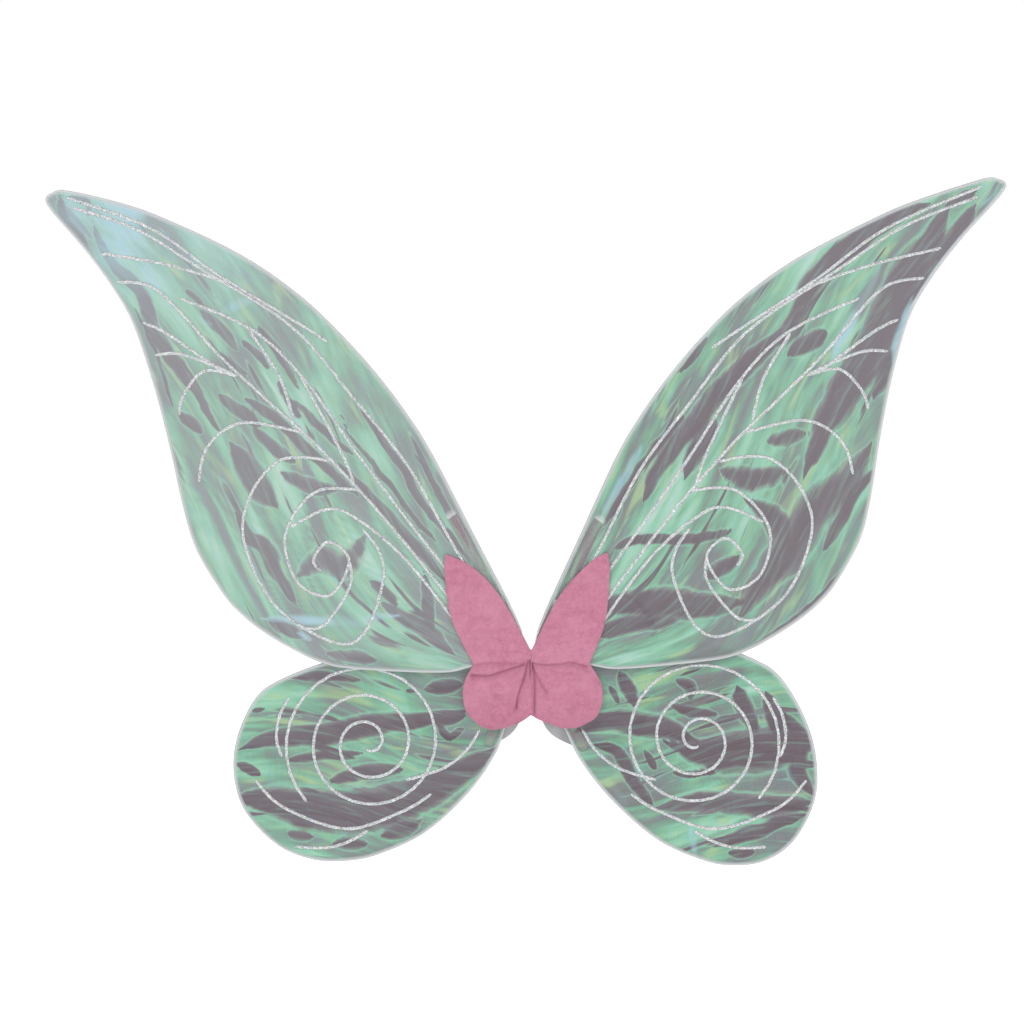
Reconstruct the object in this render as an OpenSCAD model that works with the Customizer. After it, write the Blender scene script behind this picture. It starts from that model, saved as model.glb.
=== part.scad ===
// Fairy wings: wire-framed film wings on a felt butterfly hub that folds like a book.
// Millimetres. +Z is up, +X is the right-hand wing as seen from the decorated side, and that side faces -Y.
// The origin lies on the wearer's face of the back pad, where the fold line crosses the butterfly's waist.

/* [Wings] */
// Diameter of the frame wire
wire_d = 2; // [1.6:0.1:2.2]
// Thickness of each film layer
film_t = 0.3; // [0.2:0.05:0.4]
// Gap from the wire's centre line to the film's edge
film_inset = 1.05; // [1.05:0.05:1.5]
// Width of a glitter line
glitter_w = 3.4; // [2.5:0.1:4.5]
// Height of a glitter line above the film
glitter_t = 0.4; // [0.3:0.1:0.6]

/* [Felt hub] */
// Thickness of a felt cover
felt_t = 1.2; // [1:0.1:1.4]
// Gap between a felt half and the fold line
fold_gap = 0.8; // [0.7:0.1:1.2]
// Width of the back pad
pad_w = 64; // [60:1:70]
// Thickness of the back pad
pad_t = 2.5; // [2:0.1:2.5]
// Corner radius of the back pad
pad_r = 6; // [3:0.5:8]

/* [Hub frame] */
// Thickness of the stiff plates inside the felt
plate_t = 1; // [0.8:0.1:1]
// Width of the arm behind the upper wing's wire
arm_w = 11; // [8:0.5:12]
// Width of the tongue that carries the lower wing
tongue_w = 12; // [9:0.5:13]
// Diameter of the eyelet that the lower wing turns on
eyelet_d = 5; // [4:0.5:6]
// Running clearance round the eyelet, on the radius
eyelet_gap = 0.08; // [0.05:0.01:0.1]

/* [Straps] */
// Width of the elastic
strap_w = 13; // [10:1:14]
// Thickness of the elastic
strap_t = 1; // [0.8:0.1:1.2]

/* [Hidden] */
$fn = 32;

// Depth of each layer: the face nearest the wearer, counted from the wearer's face of the pad
back_cover_y = -pad_t - 0.2;
lower_flange_y = back_cover_y - felt_t - 0.2;
tongue_y = lower_flange_y - 0.8;
lower_wire_y = tongue_y - plate_t - wire_d / 2;
hub_plate_y = -9;
upper_wire_y = hub_plate_y - plate_t - wire_d / 2;
front_cover_y = upper_wire_y - wire_d / 2 - 0.7;
fold_y = front_cover_y - felt_t;

// Where the lower wing turns on the hub plate
pivot = [14, -14];
eyelet_r = eyelet_d / 2;
flange_r = eyelet_r + 2;
flange_t = 0.5;
eyelet_shoulder_r = eyelet_r + 1;

// Height of the pad's edges
pad_top = 9;
pad_bottom = -44;

// Thread bindings: thickness, width along the wire, space inside and clearance in the holes
tie_t = 0.6;
tie_w = 1;
tie_in = 3.4;
tie_gap = 0.1;

// Where thread ties the wire to the plate: point and the wire's slant there
tie_places = [[[5.6, -20], -3], [[4.6, -6], -3], [[13.6, -0.2], 62]];

// How the left-hand frames are bent out of the right-hand shape: two rows of a bend about the pivot,
// then how far the outer end is drawn in and where that starts and takes full effect
left_upper_bend = [[0.982, 0.077], [-0.057, 1.047], [-29, -17]];
left_lower_bend = [[1.108, 0.215], [-0.086, 0.887], [0, 0]];
unbent = [[1, 0], [0, 1], [0, 0]];
tip_from = 463;
tip_full = 703;

// Sewn ends of the straps: inner edge, depth and how far they stand out below and above the pad
tab_x = 11;
tab_y = -1.7;
tab_below = 2.8;
tab_above = 3;

// Outline of the right-hand upper wing's wire, from its root up the leading edge and back
upper_route = [
    [6, -28], [4, 12], [11, 43], [45, 118], [80, 194], [102, 232], [128, 269], [160, 307], [198, 344.5],
    [250, 382], [323, 420], [366, 438], [425, 457], [439, 457], [446, 452], [437, 438.5], [404, 402],
    [375, 364], [354, 326], [338, 269], [327, 213], [318, 156], [308, 118], [287, 80], [272, 61.5],
    [251, 43.5], [222, 25], [199, 13.5], [170, 6], [87, -2], [57, 1], [30, 3.5], [18, 2], [10, -2]
];

// Outline of the right-hand lower wing's wire, from its root round the outside and back
lower_route = [
    [17, -24], [32, -58], [48, -90], [78, -127.5], [120.5, -164], [163, -183], [192, -187.5], [221, -183],
    [247, -164.5], [266, -128], [268, -90], [258, -52], [236, -14], [212, 4], [165, 20], [120, 20],
    [70, 10], [34, -1], [23, -7]
];

// Glitter veins of the right-hand upper wing
upper_veins = [
    [[424, 451], [335, 412], [269, 364], [203, 321], [170, 299]],
    [[420, 441], [352, 414], [286, 371], [203, 314], [150, 248], [103, 185], [67, 115], [56, 94]],
    [[386, 393], [319, 377], [262, 357]],
    [[309, 346], [242, 314], [196, 268], [150, 198], [97, 122], [64, 78]],
    [[370, 365], [329, 354], [276, 294], [233, 251], [186, 205], [130, 140], [62, 50]],
    [[346, 326], [322, 314], [269, 275]],
    [[336, 296], [309, 295], [262, 275]],
    [[317, 241], [312, 258], [290, 279], [259, 273]],
    [[303, 180], [296, 205], [279, 223], [252, 231], [203, 220]],
    [[150, 165], [193, 165], [224, 129], [216, 86], [186, 72], [165, 102], [183, 120], [199, 105], [193, 94]],
    [[176, 192], [203, 197], [229, 193], [255, 165], [264, 125], [239, 66], [186, 30], [156, 36], [134, 82],
        [136, 109], [150, 130]],
    [[54, 22], [110, 99], [156, 140], [183, 149], [219, 135]],
    [[165, 102], [166, 79], [193, 46], [216, 44]],
    [[244, 313], [219, 271], [208, 231]],
    [[199, 271], [166, 202], [155, 172]]
];

// Glitter veins of the right-hand lower wing, besides its spiral
lower_veins = [
    [[228, -30], [237, -47], [240, -69], [235, -86]],
    [[94, -121], [120, -137], [174, -154], [233, -134], [260, -108]],
    [[154, -156], [174, -167], [196, -172], [222, -171]],
    [[48, -60], [61, -80], [83, -97], [118, -108]]
];

// Spiral of the lower wing: centres, radius at its inner end, growth per turn, angle there and turns
right_spiral_at = [157, -70];
left_spiral_at = [154, -73];
spiral_r = 6;
spiral_pitch = 25.5;
spiral_from = -80;
spiral_turns = 2.9;

// Half outlines of the butterfly cover: notch to tip, tip to waist, and the lower lobe
right_cover_inner = [[fold_gap, 14], [26, 65], [55, 97], [72, 107]];
right_cover_outer = [[72, 107], [74, 88], [69.5, 41], [55, 2]];
right_cover_lobe = [[55, 2], [67, -20], [62, -47], [36.5, -59], [11, -52], [fold_gap, -46.5]];
left_cover_inner = [[fold_gap, 14], [28, 64], [54, 92], [80.5, 105.5]];
left_cover_outer = [[80.5, 105.5], [81.5, 88], [75, 44], [54.5, 1.5]];
left_cover_lobe = [[54.5, 1.5], [64, -20], [60, -45], [40, -59.5], [17, -56], [fold_gap, -46.5]];

// Middle of the right-hand strap, from the lower tab round to the upper one
strap_route = [
    [17.5, -1.2, -47.4], [17.5, -1.2, -49.5], [17.5, -1.2, -52], [23, -0.4, -60], [34, 3, -67], [50, 10, -73],
    [72, 22, -76], [97, 37, -66], [115, 48, -40], [122, 52, 0], [115, 48, 40], [97, 37, 62], [72, 22, 68],
    [50, 11, 60], [31, 3, 44], [20, -0.5, 28], [17.5, -1.2, 19], [17.5, -1.2, 15.5], [17.5, -1.2, 12.5]
];

// Direction across the strap at each of those points
strap_across = [
    [1, 0, 0], [1, 0, 0], [1, 0, 0], [0.9, 0, 0.5], [0.6, 0, 0.8], [0.3, 0.2, 1], [-0.2, 0.5, 0.7],
    [-0.4, 0.7, 0.3], [-0.5, 0.87, 0], [-0.5, 0.87, 0], [-0.5, 0.87, 0], [-0.4, 0.7, 0.3], [-0.4, 0.5, 0.6],
    [-0.6, 0.1, 0.7], [-0.8, 0, 0.6], [-1, 0, 0.2], [-1, 0, 0], [-1, 0, 0], [-1, 0, 0]
];

// Point at t between b and c on a smooth curve that also passes a and d
function between(a, b, c, d, t) =
    (2 * b + (c - a) * t + (2 * a - 5 * b + 4 * c - d) * t * t + (3 * b - a - 3 * c + d) * t * t * t) / 2;

// Smooth curve through the points of p, with n steps to a span
function smooth(p, n) = [
    for (i = [0 : len(p) - 2], j = [0 : n - 1])
        between(p[max(i - 1, 0)], p[i], p[i + 1], p[min(i + 2, len(p) - 1)], j / n),
    p[len(p) - 1]
];

// Direction of a line of points at point i
function heading(p, i) =
    let (d = p[min(i + 1, len(p) - 1)] - p[max(i - 1, 0)]) d / norm(d);

// Outline of a line of points drawn w wide
function stroke(p, w) = concat(
    [for (i = [0 : len(p) - 1]) let (h = heading(p, i)) p[i] + [-h[1], h[0]] * w / 2],
    [for (i = [len(p) - 1 : -1 : 0]) let (h = heading(p, i)) p[i] - [-h[1], h[0]] * w / 2]
);

// Spiral of the lower wing about a centre, as a line of points
function spiral(centre, n) = [
    for (i = [0 : n])
        let (turn = spiral_turns * i / n, a = spiral_from - 360 * turn, r = spiral_r + spiral_pitch * turn)
            centre + r * [cos(a), sin(a)]
];

// Point at q from the pivot with its outer end drawn in
function drawn_in(q, pull) =
    let (share = max(0, (norm(q) - tip_from) / (tip_full - tip_from))) q + pull * share * share;

// Line of points after bending about the pivot
function bent(line, bend) = [
    for (p = line)
        pivot + drawn_in([bend[0] * (p - pivot), bend[1] * (p - pivot)], bend[2])
];

// Bend of the upper and the lower frame on one side
function upper_bend(side) = side == "left" ? left_upper_bend : unbent;
function lower_bend(side) = side == "left" ? left_lower_bend : unbent;

upper_wire_line = smooth(upper_route, 3);
lower_wire_line = smooth(lower_route, 5);
right_cover_line =
    concat(smooth(right_cover_inner, 4), smooth(right_cover_outer, 4), smooth(right_cover_lobe, 5));
left_cover_line =
    concat(smooth(left_cover_inner, 4), smooth(left_cover_outer, 4), smooth(left_cover_lobe, 5));

// Solid through a list of rings of points
module loft(rings) {
    sides = len(rings[0]);
    last = len(rings) - 1;
    polyhedron(
        points = [for (ring = rings, p = ring) p],
        faces = concat(
            [for (i = [0 : last - 1], k = [0 : sides - 1])
                let (a = i * sides + k, b = i * sides + (k + 1) % sides) [a, b, b + sides]],
            [for (i = [0 : last - 1], k = [0 : sides - 1])
                let (a = i * sides + k, b = i * sides + (k + 1) % sides) [a, b + sides, a + sides]],
            [[for (k = [sides - 1 : -1 : 0]) k]],
            [[for (k = [0 : sides - 1]) last * sides + k]]
        )
    );
}

// Flat plate of a 2-D shape drawn in X and Z, whose face nearest the wearer is at y
module plate(y, t) {
    translate([0, y, 0])
        rotate([90, 0, 0])
            linear_extrude(t)
                children();
}

// Round bar along Y through a point of X and Z, from y1 forward to y2
module bar(at, r, y1, y2) {
    translate([at[0], y1, at[1]])
        rotate([90, 0, 0])
            cylinder(r = r, h = y1 - y2);
}

// The right-hand shape, or its mirror image for the left
module on_side(side) {
    if (side == "left")
        mirror([1, 0, 0])
            children();
    else
        children();
}

module line_with_ends(p, w) {
    polygon(stroke(p, w));
    for (end = [p[0], p[len(p) - 1]])
        translate(end)
            circle(d = w, $fn = 12);
}

module wire(line, y) {
    loft([
        for (i = [0 : len(line) - 1])
            let (h = heading(line, i), out = [-h[1], h[0]])
                [for (k = [0 : 7])
                    let (c = cos(k * 45) * wire_d / 2, s = sin(k * 45) * wire_d / 2)
                        [line[i][0] + c * out[0], y + s, line[i][1] + c * out[1]]]
    ]);
}

module film_shape(line, from_x) {
    intersection() {
        offset(delta = -film_inset)
            polygon(line);
        translate([from_x, -300])
            square([600, 900]);
    }
}

module cover_shape(side) {
    polygon(side == "left" ? left_cover_line : right_cover_line);
}

module hub_plate_shape(bend) {
    offset(delta = 0.01)
        union() {
            polygon([[2.5, 8], [2.5, -44], [14, -50], [40, -50], [52, -30], [46, -4], [40, 12], [46, 60],
                [34, 80], [19, 44]]);
            polygon(stroke(bent(smooth([[27, 60], [42, 92], [58, 126], [64, 136]], 3), bend), arm_w));
        }
}

module tongue_shape(bend) {
    offset(delta = 0.01)
        union() {
            line_with_ends(bent([pivot, [32, -46], [49, -76]], bend), tongue_w);
            translate(pivot)
                circle(r = 11);
        }
}

module pad_shape() {
    offset(r = pad_r)
        translate([-pad_w / 2 + pad_r, pad_bottom + pad_r])
            square([pad_w - 2 * pad_r, pad_top - pad_bottom - 2 * pad_r]);
}

// Holes in the plate for one tie's two legs
module tie_holes(at, degrees) {
    hole = tie_t + 2 * tie_gap;
    translate([at[0], hub_plate_y - plate_t / 2, at[1]])
        rotate([0, degrees, 0])
            for (side = [-1, 1])
                translate([side * (tie_in + tie_t) / 2, 0, 0])
                    cube([hole, 3 * plate_t, tie_w + 2 * tie_gap], center = true);
}

// Thread binding round the wire and through the plate
module tie(at, degrees) {
    front = upper_wire_y - wire_d / 2 - tie_t;
    depth = hub_plate_y + tie_t - front;
    translate([at[0], front, at[1]])
        rotate([0, degrees, 0])
            translate([0, depth / 2, 0])
                difference() {
                    cube([tie_in + 2 * tie_t, depth, tie_w], center = true);
                    cube([tie_in, depth - 2 * tie_t, 2 * tie_w], center = true);
                }
}

// Root pieces

module back_pad() {
    color("#c87f98")
        plate(0, pad_t)
            pad_shape();
}

module spine_strip() {
    color("#b9708b")
        translate([-0.5, fold_y + 0.35, pad_bottom + 2])
            cube([1, -pad_t - fold_y - 0.35, pad_top - pad_bottom - 4]);
}

module spine_thread() {
    color("#a85f7a")
        for (i = [0 : 4])
            translate([0, fold_y, pad_bottom + 3 + i * 10])
                cylinder(r = 0.35, h = 6);
}

module strap_tabs() {
    color("#8f9396")
        for (side = ["left", "right"])
            on_side(side) {
                translate([tab_x, tab_y, pad_bottom - tab_below])
                    cube([strap_w, strap_t, tab_below]);
                translate([tab_x, tab_y, pad_top])
                    cube([strap_w, strap_t, tab_above]);
            }
}

// Pieces of each upper wing

module upper_wire(side) {
    color("silver")
        on_side(side)
            wire(bent(upper_wire_line, upper_bend(side)), upper_wire_y);
}

module upper_film_front(side) {
    color("#86d3ac", 0.8)
        on_side(side)
            plate(upper_wire_y - 0.05, film_t)
                film_shape(bent(upper_wire_line, upper_bend(side)), 18);
}

module upper_film_back(side) {
    color("#8d7a88", 0.8)
        on_side(side)
            plate(upper_wire_y + 0.05 + film_t, film_t)
                film_shape(bent(upper_wire_line, upper_bend(side)), 18);
}

module upper_glitter(side) {
    color("#c9ccd0")
        on_side(side)
            plate(upper_wire_y - 0.05 - film_t, glitter_t)
                offset(delta = 0.01)
                    for (vein = upper_veins)
                        line_with_ends(bent(smooth(vein, 5), upper_bend(side)), glitter_w);
}

module hub_plate(side) {
    color("#d9a3b4")
        on_side(side)
            difference() {
                plate(hub_plate_y, plate_t)
                    hub_plate_shape(upper_bend(side));
                bar(pivot, eyelet_r, hub_plate_y + 1, hub_plate_y - plate_t - 1);
                for (place = tie_places)
                    tie_holes(bent([place[0]], upper_bend(side))[0], place[1]);
            }
}

module wire_ties(side) {
    color("#e8e4e0")
        on_side(side)
            for (place = tie_places)
                tie(bent([place[0]], upper_bend(side))[0], place[1]);
}

module front_cover(side) {
    color("#ca849b")
        on_side(side)
            plate(front_cover_y, felt_t)
                cover_shape(side);
}

module back_cover(side) {
    color("#c67e96")
        on_side(side)
            plate(back_cover_y, felt_t)
                intersection() {
                    offset(delta = -1.5)
                        cover_shape(side);
                    translate([fold_gap, -80])
                        square([100, 200]);
                }
}

module pivot_eyelet(side) {
    color("#b8a888")
        on_side(side)
            union() {
                bar(pivot, eyelet_r, lower_flange_y, hub_plate_y - plate_t - flange_t);
                bar(pivot, flange_r, lower_flange_y, lower_flange_y - flange_t);
                bar(pivot, flange_r, hub_plate_y - plate_t, hub_plate_y - plate_t - flange_t);
                bar(pivot, eyelet_shoulder_r, tongue_y - plate_t - 0.3, hub_plate_y);
            }
}

// Pieces of each lower wing

module lower_wire(side) {
    color("silver")
        on_side(side)
            wire(bent(lower_wire_line, lower_bend(side)), lower_wire_y);
}

module lower_film_front(side) {
    color("#7fd0a6", 0.8)
        on_side(side)
            plate(lower_wire_y - 0.05, film_t)
                film_shape(bent(lower_wire_line, lower_bend(side)), 30);
}

module lower_film_back(side) {
    color("#8d7a88", 0.8)
        on_side(side)
            plate(lower_wire_y + 0.05 + film_t, film_t)
                film_shape(bent(lower_wire_line, lower_bend(side)), 30);
}

module lower_glitter(side) {
    centre = side == "left" ? left_spiral_at : right_spiral_at;
    color("#c9ccd0")
        on_side(side)
            plate(lower_wire_y - 0.05 - film_t, glitter_t)
                offset(delta = 0.01)
                    union() {
                        line_with_ends(spiral(centre, 60), glitter_w);
                        for (vein = lower_veins)
                            line_with_ends(smooth(vein, 5), glitter_w);
                    }
}

module lower_tongue(side) {
    color("#d9a3b4")
        on_side(side)
            difference() {
                plate(tongue_y, plate_t)
                    tongue_shape(lower_bend(side));
                bar(pivot, eyelet_r + eyelet_gap, tongue_y + 1, tongue_y - plate_t - 1);
            }
}

// Straps

module strap(side) {
    route = smooth(strap_route, 4);
    across = smooth(strap_across, 4);
    color("#8f9396")
        on_side(side)
            loft([
                for (i = [0 : len(route) - 1])
                    let (h = heading(route, i), raw = across[i] - (across[i] * h) * h, w = raw / norm(raw),
                        n = cross(h, w), a = w * strap_w / 2, b = n * strap_t / 2)
                        [route[i] - a - b, route[i] + a - b, route[i] + a + b, route[i] - a + b]
            ]);
}

back_pad();
spine_strip();
spine_thread();
strap_tabs();
upper_wire("left");  // left_upper_wire
upper_film_front("left");  // left_upper_film_front
upper_film_back("left");  // left_upper_film_back
upper_glitter("left");  // left_upper_glitter
hub_plate("left");  // left_hub_plate
front_cover("left");  // left_front_cover
back_cover("left");  // left_back_cover
wire_ties("left");  // left_wire_ties
pivot_eyelet("left");  // left_pivot_eyelet
lower_wire("left");  // left_lower_wire
lower_film_front("left");  // left_lower_film_front
lower_film_back("left");  // left_lower_film_back
lower_glitter("left");  // left_lower_glitter
lower_tongue("left");  // left_lower_tongue
strap("left");  // left_strap
upper_wire("right");  // right_upper_wire
upper_film_front("right");  // right_upper_film_front
upper_film_back("right");  // right_upper_film_back
upper_glitter("right");  // right_upper_glitter
hub_plate("right");  // right_hub_plate
front_cover("right");  // right_front_cover
back_cover("right");  // right_back_cover
wire_ties("right");  // right_wire_ties
pivot_eyelet("right");  // right_pivot_eyelet
lower_wire("right");  // right_lower_wire
lower_film_front("right");  // right_lower_film_front
lower_film_back("right");  // right_lower_film_back
lower_glitter("right");  // right_lower_glitter
lower_tongue("right");  // right_lower_tongue
strap("right");  // right_strap
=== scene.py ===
import math

import bmesh
import bpy
import numpy as np
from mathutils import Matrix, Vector


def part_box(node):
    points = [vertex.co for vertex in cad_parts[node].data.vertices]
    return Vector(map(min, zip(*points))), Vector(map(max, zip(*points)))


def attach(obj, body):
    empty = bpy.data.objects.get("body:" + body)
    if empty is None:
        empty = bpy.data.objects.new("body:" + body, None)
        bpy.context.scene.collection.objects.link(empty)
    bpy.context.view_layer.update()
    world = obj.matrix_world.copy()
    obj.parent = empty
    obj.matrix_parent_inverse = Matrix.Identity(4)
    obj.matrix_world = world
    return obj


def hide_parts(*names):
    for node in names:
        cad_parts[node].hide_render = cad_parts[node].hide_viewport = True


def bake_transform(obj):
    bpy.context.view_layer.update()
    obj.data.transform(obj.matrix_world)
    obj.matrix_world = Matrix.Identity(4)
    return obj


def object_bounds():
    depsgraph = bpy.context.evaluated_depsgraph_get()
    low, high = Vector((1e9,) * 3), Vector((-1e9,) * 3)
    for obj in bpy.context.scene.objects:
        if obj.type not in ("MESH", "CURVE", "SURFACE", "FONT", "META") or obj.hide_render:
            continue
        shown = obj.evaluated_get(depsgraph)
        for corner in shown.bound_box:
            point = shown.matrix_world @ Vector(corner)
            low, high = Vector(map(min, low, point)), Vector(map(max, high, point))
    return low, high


# Fairy wings: film wings on wire, glitter veins, felt butterfly hub and elastic straps.
# Shapes are worked out in millimetres and turned to metres when a mesh is made.

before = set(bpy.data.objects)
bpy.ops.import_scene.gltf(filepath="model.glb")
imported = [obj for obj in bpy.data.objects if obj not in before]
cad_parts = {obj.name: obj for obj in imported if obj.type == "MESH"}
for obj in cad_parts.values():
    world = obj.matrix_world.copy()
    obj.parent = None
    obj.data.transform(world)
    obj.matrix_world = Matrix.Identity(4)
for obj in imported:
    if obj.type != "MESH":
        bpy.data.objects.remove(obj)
cadBox = [list(corner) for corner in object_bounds()]
print("frame loaded:", len(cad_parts), "CAD nodes")

sides = ("left", "right")
mm = 0.001

# camera, light and floor

shot = {
    "lens": 85,            # mm, on a 36 mm sensor
    "distance": 2.286,     # m from the film to the camera
    "sideways": -0.018,    # m, middle of the picture
    "height": 0.1446,      # m, middle of the picture
}
studio = {
    "worldSeen": 1.0,      # brightness of the plain backdrop
    "worldLight": 0.62,    # brightness it lights with
    "keyPower": 26,        # W, big soft light above and to the left
    "fillPower": 9,        # W, to the right
    "backPower": 14,       # W, behind, so the wearer's side is lit too
    "floorDrop": 0.30,     # m from the lowest point down to the floor
    "floorHalf": 9.0,      # m, half the floor's side
    "floorGlow": 0.55,     # keeps the floor as pale as the backdrop
}


def addCamera():
    data = bpy.data.cameras.new("camera")
    data.lens = shot["lens"]
    data.sensor_width = 36
    camera = bpy.data.objects.new("camera", data)
    bpy.context.collection.objects.link(camera)
    camera.location = (shot["sideways"], -shot["distance"], shot["height"])
    camera.rotation_euler = (math.radians(90), 0, 0)
    bpy.context.scene.camera = camera


def addAreaLight(name, place, target, size, power):
    data = bpy.data.lights.new(name, "AREA")
    data.shape = "RECTANGLE"
    data.size, data.size_y = size
    data.energy = power
    light = bpy.data.objects.new(name, data)
    bpy.context.collection.objects.link(light)
    light.location = place
    light.rotation_euler = (Vector(target) - Vector(place)).to_track_quat("-Z", "Y").to_euler()


addCamera()
addAreaLight("keyLight", (-1.3, -1.9, 2.1), (0, 0, 0.1), (1.6, 1.1), studio["keyPower"])
addAreaLight("fillLight", (1.8, -1.6, 0.6), (0, 0, 0.1), (1.2, 1.6), studio["fillPower"])
addAreaLight("backLight", (0.6, 1.9, 1.9), (0, 0, 0.1), (1.6, 1.2), studio["backPower"])

bpy.context.scene.view_settings.view_transform = "Standard"


# node helpers

def newMaterial(name):
    material = bpy.data.materials.new(name)
    material.use_nodes = True
    tree = material.node_tree
    shader = tree.nodes["Principled BSDF"]
    return material, tree, shader


def setInputs(node, values):
    for name, value in values.items():
        node.inputs[name].default_value = value


def plug(tree, source, target):
    # joins an output to an input, or sets the input when source is a plain value
    if isinstance(source, bpy.types.NodeSocket):
        tree.links.new(source, target)
    else:
        target.default_value = source


def addMath(tree, kind, a, b, clamp=False):
    node = tree.nodes.new("ShaderNodeMath")
    node.operation = kind
    node.use_clamp = clamp
    plug(tree, a, node.inputs[0])
    plug(tree, b, node.inputs[1])
    return node.outputs[0]


def addWeighted(tree, start, parts):
    # start, plus each value times its share
    for value, share in parts:
        start = addMath(tree, "ADD", start, addMath(tree, "MULTIPLY", value, share))
    return start


def addMix(tree, factor, a, b, blend="MIX"):
    node = tree.nodes.new("ShaderNodeMix")
    node.data_type = "RGBA"
    node.blend_type = blend
    plug(tree, factor, node.inputs["Factor"])
    for value, socket in ((a, node.inputs[6]), (b, node.inputs[7])):
        if isinstance(value, tuple):
            value = (*value, 1.0)
        plug(tree, value, socket)
    return node.outputs[2]


def addRamp(tree, factor, stops, smooth="EASE"):
    node = tree.nodes.new("ShaderNodeValToRGB")
    ramp = node.color_ramp
    ramp.interpolation = smooth
    while len(ramp.elements) < len(stops):
        ramp.elements.new(0.5)
    for element, (place, colour) in zip(ramp.elements, stops):
        element.position = place
        if not isinstance(colour, tuple):
            colour = (colour, colour, colour)
        element.color = (*colour, 1.0)
    plug(tree, factor, node.inputs["Fac"])
    return node.outputs["Color"]


def addScaled(tree, vector, scale, shift=(0, 0, 0)):
    node = tree.nodes.new("ShaderNodeMapping")
    setInputs(node, {"Scale": scale, "Location": shift})
    plug(tree, vector, node.inputs["Vector"])
    return node.outputs["Vector"]


def addNoise(tree, vector, scale=1.0, detail=3.0, roughness=0.5, distortion=0.0):
    node = tree.nodes.new("ShaderNodeTexNoise")
    setInputs(node, {"Scale": scale, "Detail": detail, "Roughness": roughness, "Distortion": distortion})
    plug(tree, vector, node.inputs["Vector"])
    return node.outputs["Fac"]


def addVoronoi(tree, vector, scale):
    node = tree.nodes.new("ShaderNodeTexVoronoi")
    node.inputs["Scale"].default_value = scale
    plug(tree, vector, node.inputs["Vector"])
    return node


def addAttribute(tree, name):
    node = tree.nodes.new("ShaderNodeAttribute")
    node.attribute_name = name
    return node


def objectPlace(tree):
    return tree.nodes.new("ShaderNodeTexCoord").outputs["Object"]


def addBump(tree, shader, height, distance):
    node = tree.nodes.new("ShaderNodeBump")
    node.inputs["Distance"].default_value = distance
    plug(tree, height, node.inputs["Height"])
    tree.links.new(node.outputs["Normal"], shader.inputs["Normal"])


# the backdrop

def addBackdrop():
    world = bpy.data.worlds.new("studio")
    world.use_nodes = True
    tree = world.node_tree
    seen = tree.nodes["Background"]
    setInputs(seen, {"Color": (1, 1, 1, 1), "Strength": studio["worldSeen"]})
    lit = tree.nodes.new("ShaderNodeBackground")
    setInputs(lit, {"Color": (0.97, 0.98, 1, 1), "Strength": studio["worldLight"]})
    mix = tree.nodes.new("ShaderNodeMixShader")
    tree.links.new(tree.nodes.new("ShaderNodeLightPath").outputs["Is Camera Ray"], mix.inputs[0])
    tree.links.new(lit.outputs[0], mix.inputs[1])
    tree.links.new(seen.outputs[0], mix.inputs[2])
    tree.links.new(mix.outputs[0], tree.nodes["World Output"].inputs["Surface"])
    bpy.context.scene.world = world

    half = studio["floorHalf"]
    z = cadBox[0][2] - studio["floorDrop"]
    corners = [(-half, -half, z), (half, -half, z), (half, half, z), (-half, half, z)]
    mesh = bpy.data.meshes.new("floor")
    mesh.from_pydata(corners, [], [(0, 1, 2, 3)])
    floor = bpy.data.objects.new("floor", mesh)
    bpy.context.collection.objects.link(floor)
    material, tree, shader = newMaterial("paleFloor")
    place = objectPlace(tree)
    setInputs(shader, {"Roughness": 0.9, "Emission Strength": studio["floorGlow"]})
    pale = addMix(tree, addNoise(tree, place, 4.0), (0.96, 0.96, 0.96), (0.98, 0.98, 0.98))
    plug(tree, pale, shader.inputs["Base Color"])
    plug(tree, pale, shader.inputs["Emission Color"])
    mesh.materials.append(material)


addBackdrop()
print("camera, lights and floor ready")


# curves and noise

def smoothLine(points, steps):
    # passes through every point, as the CAD outline does
    p = np.array(points, float)
    out = []
    for i in range(len(p) - 1):
        a, b, c, d = p[max(i - 1, 0)], p[i], p[i + 1], p[min(i + 2, len(p) - 1)]
        for t in np.arange(steps) / steps:
            out.append((2 * b + (c - a) * t + (2 * a - 5 * b + 4 * c - d) * t ** 2
                        + (3 * b - a - 3 * c + d) * t ** 3) / 2)
    out.append(p[-1])
    return np.array(out)


def runAlong(line):
    # how far along the line each of its points is
    return np.concatenate([[0], np.cumsum(np.linalg.norm(np.diff(line, axis=0), axis=1))])


def evenLine(line, count):
    # count points, evenly spaced along the line
    length = runAlong(line)
    want = np.linspace(0, length[-1], count)
    return np.stack([np.interp(want, length, line[:, k]) for k in range(line.shape[1])], axis=1)


def lineHeadings(line):
    step = np.gradient(line, axis=0)
    return step / np.maximum(np.linalg.norm(step, axis=1, keepdims=True), 1e-9)


def cellValue(i, j, seed):
    n = (i * 374761393 + j * 668265263 + seed * 974634777) & 0xFFFFFFFF
    n = ((n ^ (n >> 13)) * 1274126177) & 0xFFFFFFFF
    return ((n ^ (n >> 16)) & 0xFFFF) / 65535.0


def softNoise(x, y, seed):
    # smooth noise from 0 to 1 with cells one unit wide
    x, y = np.broadcast_arrays(np.asarray(x, float), np.asarray(y, float))
    i, j = np.floor(x).astype(np.int64), np.floor(y).astype(np.int64)
    u, v = x - i, y - j
    u, v = u * u * u * (u * (6 * u - 15) + 10), v * v * v * (v * (6 * v - 15) + 10)
    low = cellValue(i, j, seed) * (1 - u) + cellValue(i + 1, j, seed) * u
    high = cellValue(i, j + 1, seed) * (1 - u) + cellValue(i + 1, j + 1, seed) * u
    return low * (1 - v) + high * v


def crease(x, y, seed):
    # noise with sharp crests, from 0 to 1
    return 1 - np.abs(2 * softNoise(x, y, seed) - 1)


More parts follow.
